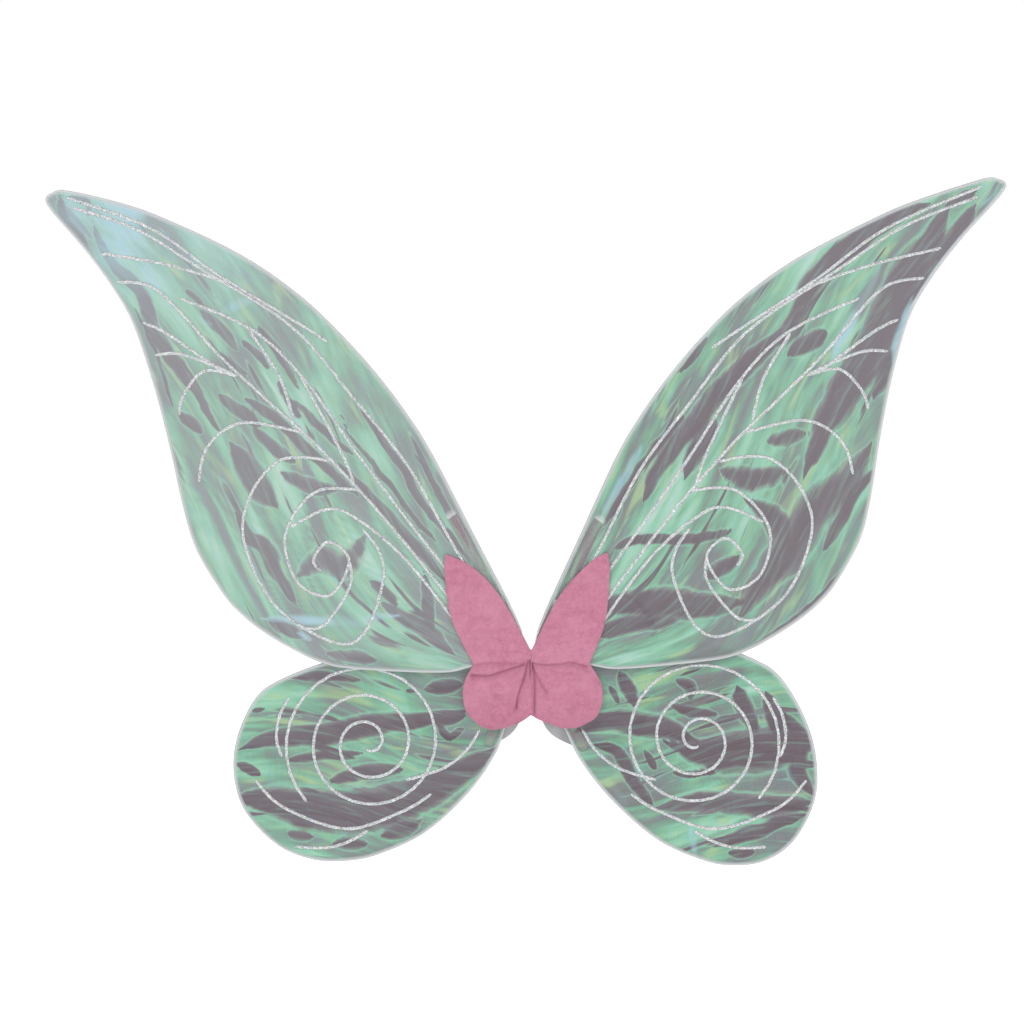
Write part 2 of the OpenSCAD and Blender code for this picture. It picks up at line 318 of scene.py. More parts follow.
def fromSegment(x, z, a, b):
    # distance of points from a segment, and how far along it the nearest place is
    d = b - a
    t = np.clip(((x - a[0]) * d[0] + (z - a[1]) * d[1]) / max(d @ d, 1e-9), 0, 1)
    return np.hypot(x - a[0] - t * d[0], z - a[1] - t * d[1]), t


def distanceTo(x, z, line):
    # distance of points from a line of points
    best = np.full(np.shape(x), 1e9)
    for a, b in zip(line[:-1], line[1:]):
        best = np.minimum(best, fromSegment(x, z, a, b)[0])
    return best


def nearRoute(x, z, route, width):
    # 1 on the route, fading to 0 past its width and ends
    return np.exp(-((distanceTo(x, z, smoothLine(route, 5)) / width) ** 2))


def between(first, last, share):
    # grid of points from one line across to the other
    return [first[:, None, k] * (1 - share) + last[:, None, k] * share for k in (0, 1)]


# meshes

def makeObject(name, verts, faces, material):
    # verts are in millimetres
    mesh = bpy.data.meshes.new(name)
    mesh.from_pydata([tuple(v) for v in np.asarray(verts, float) * mm], [], faces)
    mesh.validate()
    mesh.polygons.foreach_set("use_smooth", [True] * len(mesh.polygons))
    piece = bpy.data.objects.new(name, mesh)
    bpy.context.collection.objects.link(piece)
    mesh.materials.append(material)
    return piece


def gridFaces(rows, columns, wrap=False, flip=False):
    faces = []
    for i in range(rows - 1):
        for j in range(columns if wrap else columns - 1):
            k = (j + 1) % columns
            quad = (i * columns + j, i * columns + k, (i + 1) * columns + k, (i + 1) * columns + j)
            faces.append(quad[::-1] if flip else quad)
    return faces


def closedFaces(rows, columns, flip):
    # faces of a front grid, a back grid and the strip round their rim
    count = rows * columns
    faces = gridFaces(rows, columns, flip=flip)
    faces += [tuple(k + count for k in face) for face in gridFaces(rows, columns, flip=not flip)]
    rim = list(range(columns)) + [i * columns + columns - 1 for i in range(1, rows)]
    rim += [(rows - 1) * columns + k for k in range(columns - 2, -1, -1)]
    rim += [i * columns for i in range(rows - 2, 0, -1)]
    for a, b in zip(rim, rim[1:] + rim[:1]):
        quad = (a, b, b + count, a + count)
        faces.append(quad if flip else quad[::-1])
    return faces


def cleanMesh(piece):
    # welds the points that meet at the tips and drops empty faces
    work = bmesh.new()
    work.from_mesh(piece.data)
    bmesh.ops.remove_doubles(work, verts=work.verts, dist=0.00001)
    bmesh.ops.dissolve_degenerate(work, edges=work.edges, dist=0.000001)
    bmesh.ops.recalc_face_normals(work, faces=work.faces)
    work.to_mesh(piece.data)
    work.free()


def setValue(piece, name, values):
    # a value for every point, read by the materials
    values = np.asarray(values, np.float32)
    kind, key = ("FLOAT", "value") if values.ndim == 1 else ("FLOAT_VECTOR", "vector")
    piece.data.attributes.new(name, kind, "POINT").data.foreach_set(key, values.ravel())


# shape of the wings

hub = {
    "pivot": np.array([14.0, -14.0]),     # eyelet that the lower wing turns on
    # how each frame is bent about the pivot, by side and upper or lower
    "bend": {
        ("left", True): [[0.982, 0.077], [-0.057, 1.047]],
        ("left", False): [[1.108, 0.215], [-0.086, 0.887]],
        ("right", True): [[1, 0], [0, 1]],
        ("right", False): [[1, 0], [0, 1]],
    },
    "pull": {"left": (-29, -17), "right": (0, 0)},   # mm that the upper tip is drawn in
    "pullFrom": (463, 703),                          # mm from the pivot, start and full effect
}
upperWing = {
    "route": [[6, -28], [4, 12], [11, 43], [45, 118], [80, 194], [102, 232], [128, 269], [160, 307],
              [198, 344.5], [250, 382], [323, 420], [366, 438], [425, 457], [439, 457], [446, 452],
              [437, 438.5], [404, 402], [375, 364], [354, 326], [338, 269], [327, 213], [318, 156],
              [308, 118], [287, 80], [272, 61.5], [251, 43.5], [222, 25], [199, 13.5], [170, 6],
              [87, -2], [57, 1], [30, 3.5], [18, 2], [10, -2]],
    "veins": [
        [[424, 451], [335, 412], [269, 364], [203, 321], [170, 299]],
        [[420, 441], [352, 414], [286, 371], [203, 314], [150, 248], [103, 185], [67, 115], [56, 94]],
        [[386, 393], [319, 377], [262, 357]],
        [[309, 346], [242, 314], [196, 268], [150, 198], [97, 122], [64, 78]],
        [[370, 365], [329, 354], [276, 294], [233, 251], [186, 205], [130, 140], [62, 50]],
        [[346, 326], [322, 314], [269, 275]],
        [[336, 296], [309, 295], [262, 275]],
        [[317, 241], [312, 258], [290, 279], [259, 273]],
        [[303, 180], [296, 205], [279, 223], [252, 231], [203, 220]],
        [[150, 165], [193, 165], [224, 129], [216, 86], [186, 72], [165, 102], [183, 120], [199, 105],
         [193, 94]],
        [[176, 192], [203, 197], [229, 193], [255, 165], [264, 125], [239, 66], [186, 30], [156, 36],
         [134, 82], [136, 109], [150, 130]],
        [[54, 22], [110, 99], [156, 140], [183, 149], [219, 135]],
        [[165, 102], [166, 79], [193, 46], [216, 44]],
        [[244, 313], [219, 271], [208, 231]],
        [[199, 271], [166, 202], [155, 172]],
    ],
    "strip": [[27, 60], [42, 92], [58, 126], [64, 136]],   # felt-backed arm under the film
    "start": (30, 18),      # height on the leading wire, and distance out on the trailing one
    "ribs": 230,
    "across": 92,
    "depth": 1.35,          # mm, height of the crinkles
}
lowerWing = {
    "route": [[17, -24], [32, -58], [48, -90], [78, -127.5], [120.5, -164], [163, -183], [192, -187.5],
              [221, -183], [247, -164.5], [266, -128], [268, -90], [258, -52], [236, -14], [212, 4],
              [165, 20], [120, 20], [70, 10], [34, -1], [23, -7]],
    "veins": [
        [[228, -30], [237, -47], [240, -69], [235, -86]],
        [[94, -121], [120, -137], [174, -154], [233, -134], [260, -108]],
        [[154, -156], [174, -167], [196, -172], [222, -171]],
        [[48, -60], [61, -80], [83, -97], [118, -108]],
    ],
    "spiral": {"left": (154, -73), "right": (157, -70), "radius": 6, "pitch": 25.5,
               "from": -80, "turns": 2.9},
    "strip": [[14, -14], [32, -46], [49, -76]],
    "start": (-57, 34),
    "ribs": 150,
    "across": 84,
    "depth": 1.0,
}
# the wires' own depth comes from the frame
lowerWing["wireY"] = sum(corner[1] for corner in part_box("right_lower_wire")) / 2 / mm
upperWing["wireY"] = sum(corner[1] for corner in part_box("right_upper_wire")) / 2 / mm


def bent(points, side, upper):
    # right-hand points bent about the eyelet as this side's frame is
    offset = (np.asarray(points, float) - hub["pivot"]) @ np.array(hub["bend"][side, upper]).T
    first, full = hub["pullFrom"]
    share = np.clip((np.linalg.norm(offset, axis=-1, keepdims=True) - first) / (full - first), 0, None)
    return hub["pivot"] + offset + np.array(hub["pull"][side]) * share ** 2


def placed(points, side):
    # right-hand coordinates to their real side
    return points * ((-1, 1) if side == "left" else (1, 1))


def flowOf(x, z, upper):
    # along and across the crinkles, in millimetres
    if upper:
        # fans out of the hub, then runs side by side up the wing
        dx, dz = x + 6, z + 34
        along, angle = np.hypot(dx, dz), np.arctan2(dz, dx)
        fan = np.exp(-((along / 170) ** 2))
        across = fan * 235 * angle + (1 - fan) * (0.53 * z - 0.85 * x + 250) + 12 * np.sin(along / 90)
        return along, across
    return x + 0.25 * z, z + 12 * np.sin(x / 46) - 0.12 * x


def crinkle(x, z, side, upper):
    # height of the film towards the viewer, from about -1 to 1
    seed = (11 if upper else 31) + (0 if side == "right" else 5)
    along, across = flowOf(x, z, upper)
    bend = softNoise(along / 110, across / 60, seed + 1) - 0.5
    sway = softNoise(along / 45, across / 26, seed + 2) - 0.5
    a = along + 40 * sway
    c = across + 22 * bend + 9 * sway
    h = 0.85 * crease(a / 150, c / 17, seed + 3)
    h = h + 0.50 * crease(a / 80, c / 9, seed + 4)
    h = h + 0.20 * crease(a / 30, c / 5, seed + 5)
    h = h + 0.08 * softNoise(x / 5.5, z / 5.5, seed + 6)
    return h - 0.85


def bandField(x, z, bands):
    # 1 down the middle of each lens-shaped band, 0 at its edge and below 0 outside
    warp = 3.5 * (softNoise(x / 18, z / 18, 21) - 0.5) + 1.0 * (softNoise(x / 6, z / 6, 22) - 0.5)
    x, z = x + warp, z - warp * 0.6
    total = np.full(np.shape(x), -1.0)
    for route, half, strength in bands:
        line = smoothLine(route, 4)
        half = min(half, runAlong(line)[-1] / 5)
        first, last = line[0] - line[1], line[-1] - line[-2]
        line = np.vstack([line[0] + 1.3 * half * first / np.hypot(*first), line,
                          line[-1] + 1.3 * half * last / np.hypot(*last)])
        count = len(line) - 1
        for i in range(count):
            gap, t = fromSegment(x, z, line[i], line[i + 1])
            share = (i + t) / count
            reach = 1.5 * half * np.clip(4 * share * (1 - share), 0.02, 1) ** 0.7
            value = np.clip(1 - (gap / reach) ** 2, -1, 1)
            total = np.maximum(total, np.where(value > 0, strength * value, value))
    return total


# painted dark reflections on each wing, where the film shows mauve: route, half width and strength
darkReflectionBands = {
    ("left", True): [
        ([[443, 438], [439, 427], [430, 413], [418, 400]], 4, 0.95),
        ([[410, 413], [403, 397], [391, 375], [377, 364], [367, 352], [361, 335], [355, 317],
          [344, 299], [330, 280], [317, 261], [305, 241], [295, 222]], 5, 1),
        ([[372, 335], [355, 299], [345, 272], [336, 245]], 1.5, 1),
        ([[308, 333], [295, 320], [287, 310], [278, 299]], 4, 1),
        ([[270, 306], [258, 294], [247, 280]], 2.5, 1),
        ([[291, 253], [276, 241], [262, 228]], 4, 1),
        ([[265, 250], [248, 239], [231, 226]], 3.5, 1),
        ([[256, 319], [248, 308], [239, 297], [229, 283], [219, 264]], 3, 1),
        ([[323, 353], [309, 342]], 2.5, 0.8),
        ([[328, 236], [312, 222]], 5.5, 0.9),
        ([[237, 267], [226, 248], [219, 233]], 2.5, 1),
        ([[292, 294], [280, 283], [269, 273]], 2, 0.9),
        ([[433, 441], [419, 436], [417, 425]], 2.5, 0.7),
        ([[163, 250], [150, 230], [139, 210], [125, 191], [113, 169], [100, 150], [87, 131],
          [78, 116]], 3, 1),
        ([[221, 249], [207, 233], [188, 214], [170, 200]], 3.5, 1),
        ([[266, 250], [250, 241], [232, 225], [210, 203], [194, 186], [178, 172], [164, 160]], 3.5, 1),
        ([[181, 188], [160, 169], [141, 147], [125, 131], [109, 114], [95, 97], [82, 81]], 4, 1),
        ([[108, 199], [95, 180], [84, 156], [72, 134], [59, 113]], 2.5, 1),
        ([[275, 244], [257, 228]], 3.5, 1),
        ([[258, 221], [241, 205], [224, 194]], 4.5, 0.9),
        ([[279, 203], [266, 185], [255, 166], [244, 155]], 8.5, 0.9),
        ([[232, 180], [210, 169], [186, 166]], 5, 0.7),
        ([[275, 141], [266, 120], [252, 113], [243, 97], [235, 80], [225, 61]], 5.5, 1),
        ([[243, 42], [230, 36], [216, 29]], 4.5, 1),
        ([[138, 56], [119, 45], [103, 36], [91, 26], [75, 14]], 5.5, 1),
        ([[100, 84], [97, 66], [97, 50], [93, 31]], 3.5, 1),
        ([[149, 78], [138, 69], [127, 59]], 4, 0.9),
        ([[213, 89], [197, 100], [175, 94], [160, 116]], 8.5, 0.6),
        ([[181, 235], [166, 213], [150, 192], [134, 172], [119, 150], [103, 131], [91, 116]], 2, 0.8),
        ([[80, 128], [72, 116], [56, 98]], 2, 0.9),
        ([[188, 12], [166, 9], [147, 6]], 4, 0.62),
    ],
    ("left", False): [
        ([[269, -125], [244, -128], [218, -134], [186, -138], [150, -136], [114, -125], [77, -107],
          [43, -85]], 14, 1),
        ([[267, -76], [247, -69], [218, -67], [193, -65], [168, -60], [135, -54], [105, -52],
          [67, -44]], 7.5, 1),
        ([[95, -22], [71, -19]], 5, 1),
        ([[88, -53], [67, -48]], 4.5, 1),
        ([[87, -58], [79, -69]], 5, 1),
        ([[274, -94], [257, -101]], 5.5, 1),
        ([[118, -24], [109, -24]], 3.5, 0.9),
        ([[186, -108], [157, -101], [126, -99]], 5, 0.68),
        ([[226, -88], [193, -85], [164, -83]], 3.5, 0.62),
        ([[137, -160], [121, -154], [108, -148]], 5.5, 0.66),
        ([[227, -159], [209, -161]], 7, 0.6),
        ([[182, -168], [159, -168]], 6.5, 0.6),
        ([[217, -11], [193, -9], [164, -14]], 3.5, 0.6),
        ([[77, -69], [67, -61]], 2.5, 1),
        ([[262, -43], [253, -41]], 2, 0.9),
    ],
    ("right", True): [
        ([[108, 160], [123, 189], [154, 230], [186, 267], [215, 296], [244, 319]], 7, 1),
        ([[227, 302], [250, 328], [267, 363], [290, 386], [325, 412], [366, 432]], 8, 1),
        ([[247, 296], [273, 311]], 8, 1),
        ([[389, 427], [377, 400], [363, 380], [345, 351], [325, 308], [308, 279], [287, 244],
          [273, 218], [261, 189]], 12, 1),
        ([[415, 427], [394, 398], [371, 366], [354, 346]], 7, 0.8),
        ([[342, 296], [331, 279], [325, 256]], 6, 0.7),
        ([[313, 198], [296, 175], [273, 155], [250, 117], [221, 82], [201, 53]], 12, 0.62),
        ([[319, 181], [302, 157], [290, 134], [279, 111]], 5, 1),
        ([[209, 152], [230, 137], [238, 117], [227, 100]], 8.5, 0.8),
        ([[71, 56], [99, 59], [128, 59], [160, 56], [189, 59]], 10, 1),
        ([[68, 30], [94, 39], [131, 42]], 6, 0.9),
        ([[82, 111], [108, 120], [146, 118], [186, 127]], 4, 1),
        ([[169, 85], [180, 91], [192, 100]], 9.5, 0.7),
        ([[71, 134], [91, 169], [111, 198], [140, 233]], 3.5, 0.9),
        ([[140, 276], [154, 293], [166, 308]], 2.5, 1),
        ([[146, 184], [160, 210], [172, 227]], 6, 1),
        ([[302, 97], [267, 56], [227, 30], [204, 16]], 3, 0.9),
        ([[186, 181], [209, 175], [233, 181]], 8, 0.62),
        ([[227, 212], [253, 218]], 6, 0.6),
        ([[397, 435], [415, 444]], 6.5, 0.9),
    ],
    ("right", False): [
        ([[50, -60], [76, -52], [103, -56], [126, -59], [148, -68]], 8, 1),
        ([[143, -78], [170, -84], [194, -81], [219, -79], [244, -76], [261, -69]], 13.5, 1),
        ([[241, -49], [251, -64], [251, -81], [251, -101], [263, -118]], 6.5, 1),
        ([[195, -24], [202, -41], [212, -61]], 6, 1),
        ([[223, -30], [229, -47], [233, -66]], 5.5, 1),
        ([[177, -169], [199, -160], [224, -152], [254, -142]], 5, 1),
        ([[259, -130], [241, -133], [207, -132], [160, -128], [123, -133]], 7.5, 0.62),
        ([[85, -10], [92, -22], [98, -35]], 5, 0.9),
        ([[140, -15], [150, -20], [151, -29]], 5.5, 0.75),
        ([[136, -39], [151, -44], [172, -46]], 3.5, 0.8),
        ([[64, -76], [81, -81], [92, -101], [103, -118], [111, -128]], 4.5, 0.9),
        ([[108, -83], [116, -96]], 3.5, 1),
        ([[136, -101], [151, -103], [172, -101]], 2.5, 1),
        ([[76, -22], [82, -34]], 3.5, 0.8),
        ([[254, -93], [267, -93]], 3, 1),
        ([[190, -177], [207, -176]], 4.5, 0.6),
    ],
}

# painted reflections of the pale blue sky, in the same way
skyReflectionBands = {
    ("left", True): [
        ([[436, 435], [424, 421], [408, 408], [383, 400]], 5.5, 0.9),
        ([[377, 430], [364, 418]], 6.5, 0.7),
        ([[405, 416], [383, 405], [367, 421]], 8, 0.9),
        ([[380, 389], [356, 391]], 4.5, 0.9),
        ([[350, 408], [339, 405]], 5.5, 0.9),
        ([[286, 335], [265, 344]], 4, 1),
        ([[312, 327], [302, 322]], 4.5, 0.9),
        ([[364, 371], [352, 358]], 4, 0.5),
        ([[397, 436], [355, 427]], 4.5, 0.6),
        ([[249, 44], [224, 44], [200, 42], [181, 42], [163, 39], [150, 45], [127, 47]], 4, 1),
        ([[216, 31], [207, 25]], 4, 0.8),
    ],
    ("left", False): [],
    ("right", True): [
        ([[327, 376], [311, 343], [296, 314], [283, 288]], 3.5, 1),
        ([[357, 344], [350, 325], [343, 302], [340, 285]], 3.5, 0.9),
        ([[102, 204], [82, 169], [68, 143]], 3, 0.7),
        ([[438, 453], [421, 435]], 6.5, 0.4),
    ],
    ("right", False): [
        ([[151, -152], [155, -179]], 2.5, 0.5),
        ([[82, -120], [89, -133]], 3.5, 0.4),
    ],
}


def wingLine(wing, side, upper):
    return bent(smoothLine(wing["route"], 14), side, upper)


def filmRibs(wing, side, upper):
    # pairs of points on the leading and the trailing wire, and the way out of the film at each
    line = wingLine(wing, side, upper)
    far = int(np.argmax(np.hypot(line[:, 0], line[:, 1] * (1 if upper else 0.9))))
    lead, trail = line[: far + 1], line[far:][::-1]
    height, reach = wing["start"]
    past = lead[:, 1] > height if upper else lead[:, 1] < height
    lead, trail = lead[int(np.argmax(past)):], trail[int(np.argmax(trail[:, 0] > reach)):]
    lead, trail = evenLine(lead, wing["ribs"]), evenLine(trail, wing["ribs"])
    middle = (lead + trail) / 2
    outs = []
    for ends in (lead, trail):
        heads = lineHeadings(ends)
        out = np.stack([-heads[:, 1], heads[:, 0]], axis=1)
        sign = np.sign(((ends - middle) * out).sum(axis=1, keepdims=True))
        sign[-1] = sign[-2]
        outs.append(out * sign)
    return line, lead, trail, outs


film = {
    "wireRadius": 1.12,     # mm, wire and the film lapped round it
    "overWire": 1.5,        # mm, how quickly the film drops away beside the wire
    "gap": 0.14,            # mm from the film's middle to each of its faces
    "taut": 7.0,            # mm beside the wire where it can't crinkle
    "hollow": 0.5,          # mm that the film is pressed in under a painted dark reflection
    "gather": 0.42,         # mm, height of the small gathers along the wire
    "laps": ((0.78, 0.80), (1.14, 0.02)),   # rows outside the wire: mm out, share of its radius
    "hemCrowd": 0.045,      # draws the columns in towards the wire
}


def fromStrip(x, z, side, wing, upper):
    return distanceTo(x, z, bent(smoothLine(wing["strip"], 3), side, upper))


def overWire(near):
    # how far the film's face stands off its middle
    return film["wireRadius"] * np.exp(-((near / film["overWire"]) ** 2)) + film["gap"]


def filmHeight(x, z, side, wing, upper, line):
    # how far the film's middle stands towards the viewer, and how near the wire it is
    near = distanceTo(x, z, line[::3])
    free = 1 - np.exp(-((near / film["taut"]) ** 2))
    onStrip = np.exp(-((fromStrip(x, z, side, wing, upper) / 9) ** 2))
    hollow = film["hollow"] * np.clip(bandField(x, z, darkReflectionBands[side, upper]), 0, 1)
    h = (wing["depth"] * crinkle(x, z, side, upper) - hollow) * free * (1 - 0.85 * onStrip)
    gathers = film["gather"] * (crease((x + z) / 6.5, (x - z) / 6.5, 71) - 0.5)
    return h + gathers * np.exp(-near / 9) * free, near


def makeFilm(side, wing, upper, front, material):
    part = "upper" if upper else "lower"
    line, lead, trail, outs = filmRibs(wing, side, upper)
    share = np.linspace(0, 1, wing["across"])
    share = share - film["hemCrowd"] * np.sin(2 * np.pi * share)
    x, z = between(lead, trail, share)
    h, near = filmHeight(x, z, side, wing, upper, line)
    face = 1 if front else -1
    # the film laps round the wire: two more rows outside each edge
    blocks = [np.stack([x, h + face * overWire(near), z], axis=-1)]
    for outWay, ends, first in ((outs[0], lead, True), (outs[1], trail, False)):
        extra = []
        for reach, lift in film["laps"]:
            lap = ends + outWay * reach
            rise = np.full(len(lap), face * film["wireRadius"] * lift)
            extra.append(np.stack([lap[:, 0], rise, lap[:, 1]], axis=-1)[:, None])
        extra = np.concatenate(extra[::-1] if first else extra, axis=1)
        blocks = [extra] + blocks if first else blocks + [extra]
    grid = np.concatenate(blocks, axis=1)
    flat = grid.reshape(-1, 3)
    fx, fz = flat[:, 0], flat[:, 2]
    real = placed(np.stack([fx, fz], axis=-1), side)
    verts = np.stack([real[:, 0], wing["wireY"] - flat[:, 1], real[:, 1]], axis=1)
    name = f"{side}{part.capitalize()}Film{'Front' if front else 'Back'}"
    faces = gridFaces(*grid.shape[:2], flip=(side == "left") != front)
    piece = makeObject(name, verts, faces, material)
    step = 1.5     # mm, over which the crinkles' slope is taken
    slopeZ = crinkle(fx, fz + step, side, upper) - crinkle(fx, fz - step, side, upper)
    slopeX = crinkle(fx + step, fz, side, upper) - crinkle(fx - step, fz, side, upper)
    along, across = flowOf(fx, fz, upper)
    pattern = np.full(len(fx), 37.0 * (side == "left") + 90 * upper)     # each wing has its own
    setValue(piece, "flow", np.stack([along, across, pattern], 1))
    # painted highlight and shade: crinkles sloping up and to the left, towards the key light, are
    # painted lighter, the others darker; the lower wings a step darker
    tilt = np.clip((-0.8 * slopeZ + 0.45 * slopeX) / 0.55, -1.5, 1.5)
    setValue(piece, "tilt", tilt - 0.25 * (not upper))
    setValue(piece, "nearWire", distanceTo(fx, fz, line[::3]))
    setValue(piece, "onStrip", np.exp(-((fromStrip(fx, fz, side, wing, upper) / 6.2) ** 4)))
    # painted dark reflections, as a share of each band
    setValue(piece, "veil", bandField(fx, fz, darkReflectionBands[side, upper]))
    # painted sky reflection: pale blue gleams, strongest near the left upper tip
    sky = np.clip(bandField(fx, fz, skyReflectionBands[side, upper]), 0, 1)
    if upper and side == "left":
        sky = sky + 0.75 * np.exp(-(((fx - 390) / 75) ** 2 + ((fz - 418) / 45) ** 2))
        sky = sky + 0.30 * np.exp(-(((fx - 320) / 70) ** 2 + ((fz - 375) / 45) ** 2))
    setValue(piece, "skyTint", np.clip(sky, 0, 1))
    setValue(piece, "grain", np.stack([across, along, 0 * along] if upper else [fx, fz, 0 * fx], 1))
    # the painted sheen grows towards the upper wings' tips
    outward = 0.10 * np.clip(along / 500, 0, 1) * upper
    setValue(piece, "milk", filmLook["milk"][side, upper] + outward)
    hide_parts(f"{side}_{part}_film_{'front' if front else 'back'}")
    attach(piece, f"{side}_wing" if upper else f"{side}_lower_wing")


# film finish

filmLook = {
    "mauve": (0.160, 0.088, 0.116),
    "mauveLight": (0.240, 0.186, 0.212),
    "slate": (0.240, 0.235, 0.245),
    "sage": (0.235, 0.345, 0.290),
    "green": (0.240, 0.520, 0.350),
    "mint": (0.340, 0.720, 0.510),
    "pale": (0.600, 0.860, 0.760),
    "lime": (0.520, 0.740, 0.360),
    "sky": (0.480, 0.780, 0.940),
    "cloud": (0.810, 0.880, 0.890),
    "tone": (0.770, 0.770, 0.770),    # darkens the whole film
    # share of painted cloudy white sheen over each wing
    "milk": {("left", True): 0.19, ("right", True): 0.04,
             ("left", False): 0.03, ("right", False): 0.0},
    "frontAlpha": 0.82,
    "backAlpha": 0.86,
    "stripAlpha": 0.34,
}


def filmMaterial(name, alpha):
    material, tree, shader = newMaterial(name)
    look = filmLook
    flow = addAttribute(tree, "flow").outputs["Vector"]
    grain = addAttribute(tree, "grain").outputs["Vector"]
    tilt, sky, strip, near, veil, milk = (
        addAttribute(tree, word).outputs["Fac"]
        for word in ("tilt", "skyTint", "onStrip", "nearWire", "veil", "milk"))

    def along(length, width, shift, detail, roughness, distortion):
        # noise drawn out along the crinkles, its patches so many mm long and wide
        place = addScaled(tree, flow, (1 / length, 1 / width, 1), shift)
        return addNoise(tree, place, 1, detail, roughness, distortion)

    streaks = along(150, 24, (0, 0, 0), 2.5, 0.5, 0.5)
    blobs = along(80, 40, (5, 3, 1), 2, 0.5, 0.6)
    fibres = along(60, 5, (0, 0, 0), 3, 0.6, 0.3)
    slivers = along(95, 11, (1, 6, 8), 1.5, 0.5, 0.5)
    ragged = along(30, 8, (2, 7, 3), 3, 0.6, 0.4)
    # painted highlights and shade: slate through sage and green to mint and pale, lighter where the
    # crinkles face the light and along noise streaks
    level = addWeighted(tree, -0.205, [(tilt, 0.13), (streaks, 0.85), (blobs, 0.50), (fibres, 0.12)])
    body = addRamp(tree, level, [(0.40, look["slate"]), (0.475, look["sage"]), (0.55, look["green"]),
                                 (0.66, look["mint"]), (0.80, look["pale"])], "LINEAR")
    limeShare = addRamp(tree, along(70, 14, (9, 4, 2), 2, 0.5, 0.6), [(0.56, 0.0), (0.74, 0.75)])
    body = addMix(tree, limeShare, body, look["lime"])
    # painted dark reflections, with painted highlights along their rims and a few thin dark streaks
    # between them
    push = addMath(tree, "SUBTRACT", ragged, 0.5)
    thin = addWeighted(tree, -1.0, [(addRamp(tree, slivers, [(0.55, 0.0), (0.72, 1.0)]), 1.6)])
    dark = addMath(tree, "ADD", addMath(tree, "MAXIMUM", veil, thin), push)
    half = addWeighted(tree, 0.5, [(dark, 0.5)])
    # painted highlight along the rims of the dark reflections
    rim = addRamp(tree, half, [(0.16, 0.0), (0.42, 0.6), (0.46, 0.6), (0.54, 0.0)])
    body = addMix(tree, rim, body, look["mint"])
    mauve = addRamp(tree, half, [(0.56, look["mauveLight"]), (0.82, look["mauve"])])
    mauve = addMix(tree, addRamp(tree, fibres, [(0.50, 0.0), (0.66, 0.55)]), mauve, look["sage"])
    body = addMix(tree, addRamp(tree, half, [(0.44, 0.0), (0.52, 0.35), (0.70, 1.0)]), body, mauve)
    cloudy = addRamp(tree, blobs, [(0.36, 0.25), (0.60, 0.9)])
    # painted reflection of the pale blue sky
    body = addMix(tree, addMath(tree, "MULTIPLY", sky, cloudy, True), body, look["sky"])
    rainbow = addNoise(tree, addScaled(tree, grain, (1 / 1.5, 1 / 30, 1)), 1, 2)
    hue = addRamp(tree, rainbow, [(0.30, (0.72, 0.92, 1.0)), (0.46, (1, 1, 1)),
                                  (0.60, (1.0, 0.97, 0.74)), (0.72, (1.0, 0.82, 0.90))])
    body = addMix(tree, 0.75, body, hue, "MULTIPLY")
    # painted whitish sheen over the wing
    body = addMix(tree, milk, body, look["cloud"])
    body = addMix(tree, 1.0, body, look["tone"], "MULTIPLY")
    # pale over the wire, with a fine dark line just inside it
    inCentimetres = addMath(tree, "MULTIPLY", near, 0.1)
    hem = addRamp(tree, inCentimetres, [(0.0, (0.66, 0.66, 0.65)), (0.10, (0.60, 0.61, 0.60)),
                                        (0.16, (0.36, 0.37, 0.37)), (0.24, (1, 1, 1))], "LINEAR")
    hemShare = addRamp(tree, inCentimetres, [(0.10, 0.85), (0.28, 0.0)])
    body = addMix(tree, hemShare, body, hem)
    plug(tree, body, shader.inputs["Base Color"])
    # clearer where the strip behind shows through
    seeThrough = addMath(tree, "MULTIPLY", strip, alpha - look["stripAlpha"])
    plug(tree, addMath(tree, "SUBTRACT", alpha, seeThrough), shader.inputs["Alpha"])
    setInputs(shader, {"Roughness": 0.28, "Specular IOR Level": 0.5, "Coat Weight": 0.3,
                       "Coat Roughness": 0.15, "Thin Film Thickness": 380, "Thin Film IOR": 1.6})
    addBump(tree, shader, addWeighted(tree, streaks, [(fibres, 0.4)]), 0.0018)
    return material


filmFront = filmMaterial("iridescentFilmFront", filmLook["frontAlpha"])
filmBack = filmMaterial("iridescentFilmBack", filmLook["backAlpha"])
for side in sides:
    for wing, upper in ((upperWing, True), (lowerWing, False)):
        makeFilm(side, wing, upper, True, filmFront)
        makeFilm(side, wing, upper, False, filmBack)
print("film sheets made")


# glitter lines

glitter = {
    "width": 3.2,
    "height": 0.55,
    "step": 2.0,       # mm between rings
    "ragged": 0.30,    # share of the width that its edges wander
    "taper": 3.0,      # mm at each end
    # across the line, as shares of its width and height
    "profile": [(-0.5, -0.15), (-0.34, 0.62), (-0.12, 0.97), (0.12, 1.0), (0.34, 0.66), (0.5, -0.15)],
}


def glitterMaterial():
    material, tree, shader = newMaterial("silverGlitter")
    place = objectPlace(tree)
    grains = addVoronoi(tree, place, 1500)
    coarse = addVoronoi(tree, place, 700)
    greys = [(0.15, (0.30, 0.31, 0.32)), (0.45, (0.54, 0.56, 0.57)), (0.85, (0.95, 0.97, 0.97))]
    shade = addRamp(tree, grains.outputs["Color"], greys)
    shade = addMix(tree, 0.25, shade, coarse.outputs["Color"], "SOFT_LIGHT")
    plug(tree, shade, shader.inputs["Base Color"])
    setInputs(shader, {"Metallic": 0.2, "Roughness": 0.35})
    addBump(tree, shader, grains.outputs["Color"], 0.0006)
    return material


def spiralLine(spiral, side):
    turn = np.linspace(0, spiral["turns"], 90)
    angle = np.radians(spiral["from"] - 360 * turn)
    radius = spiral["radius"] + spiral["pitch"] * turn
    return np.array(spiral[side]) + np.stack([radius * np.cos(angle), radius * np.sin(angle)], 1)


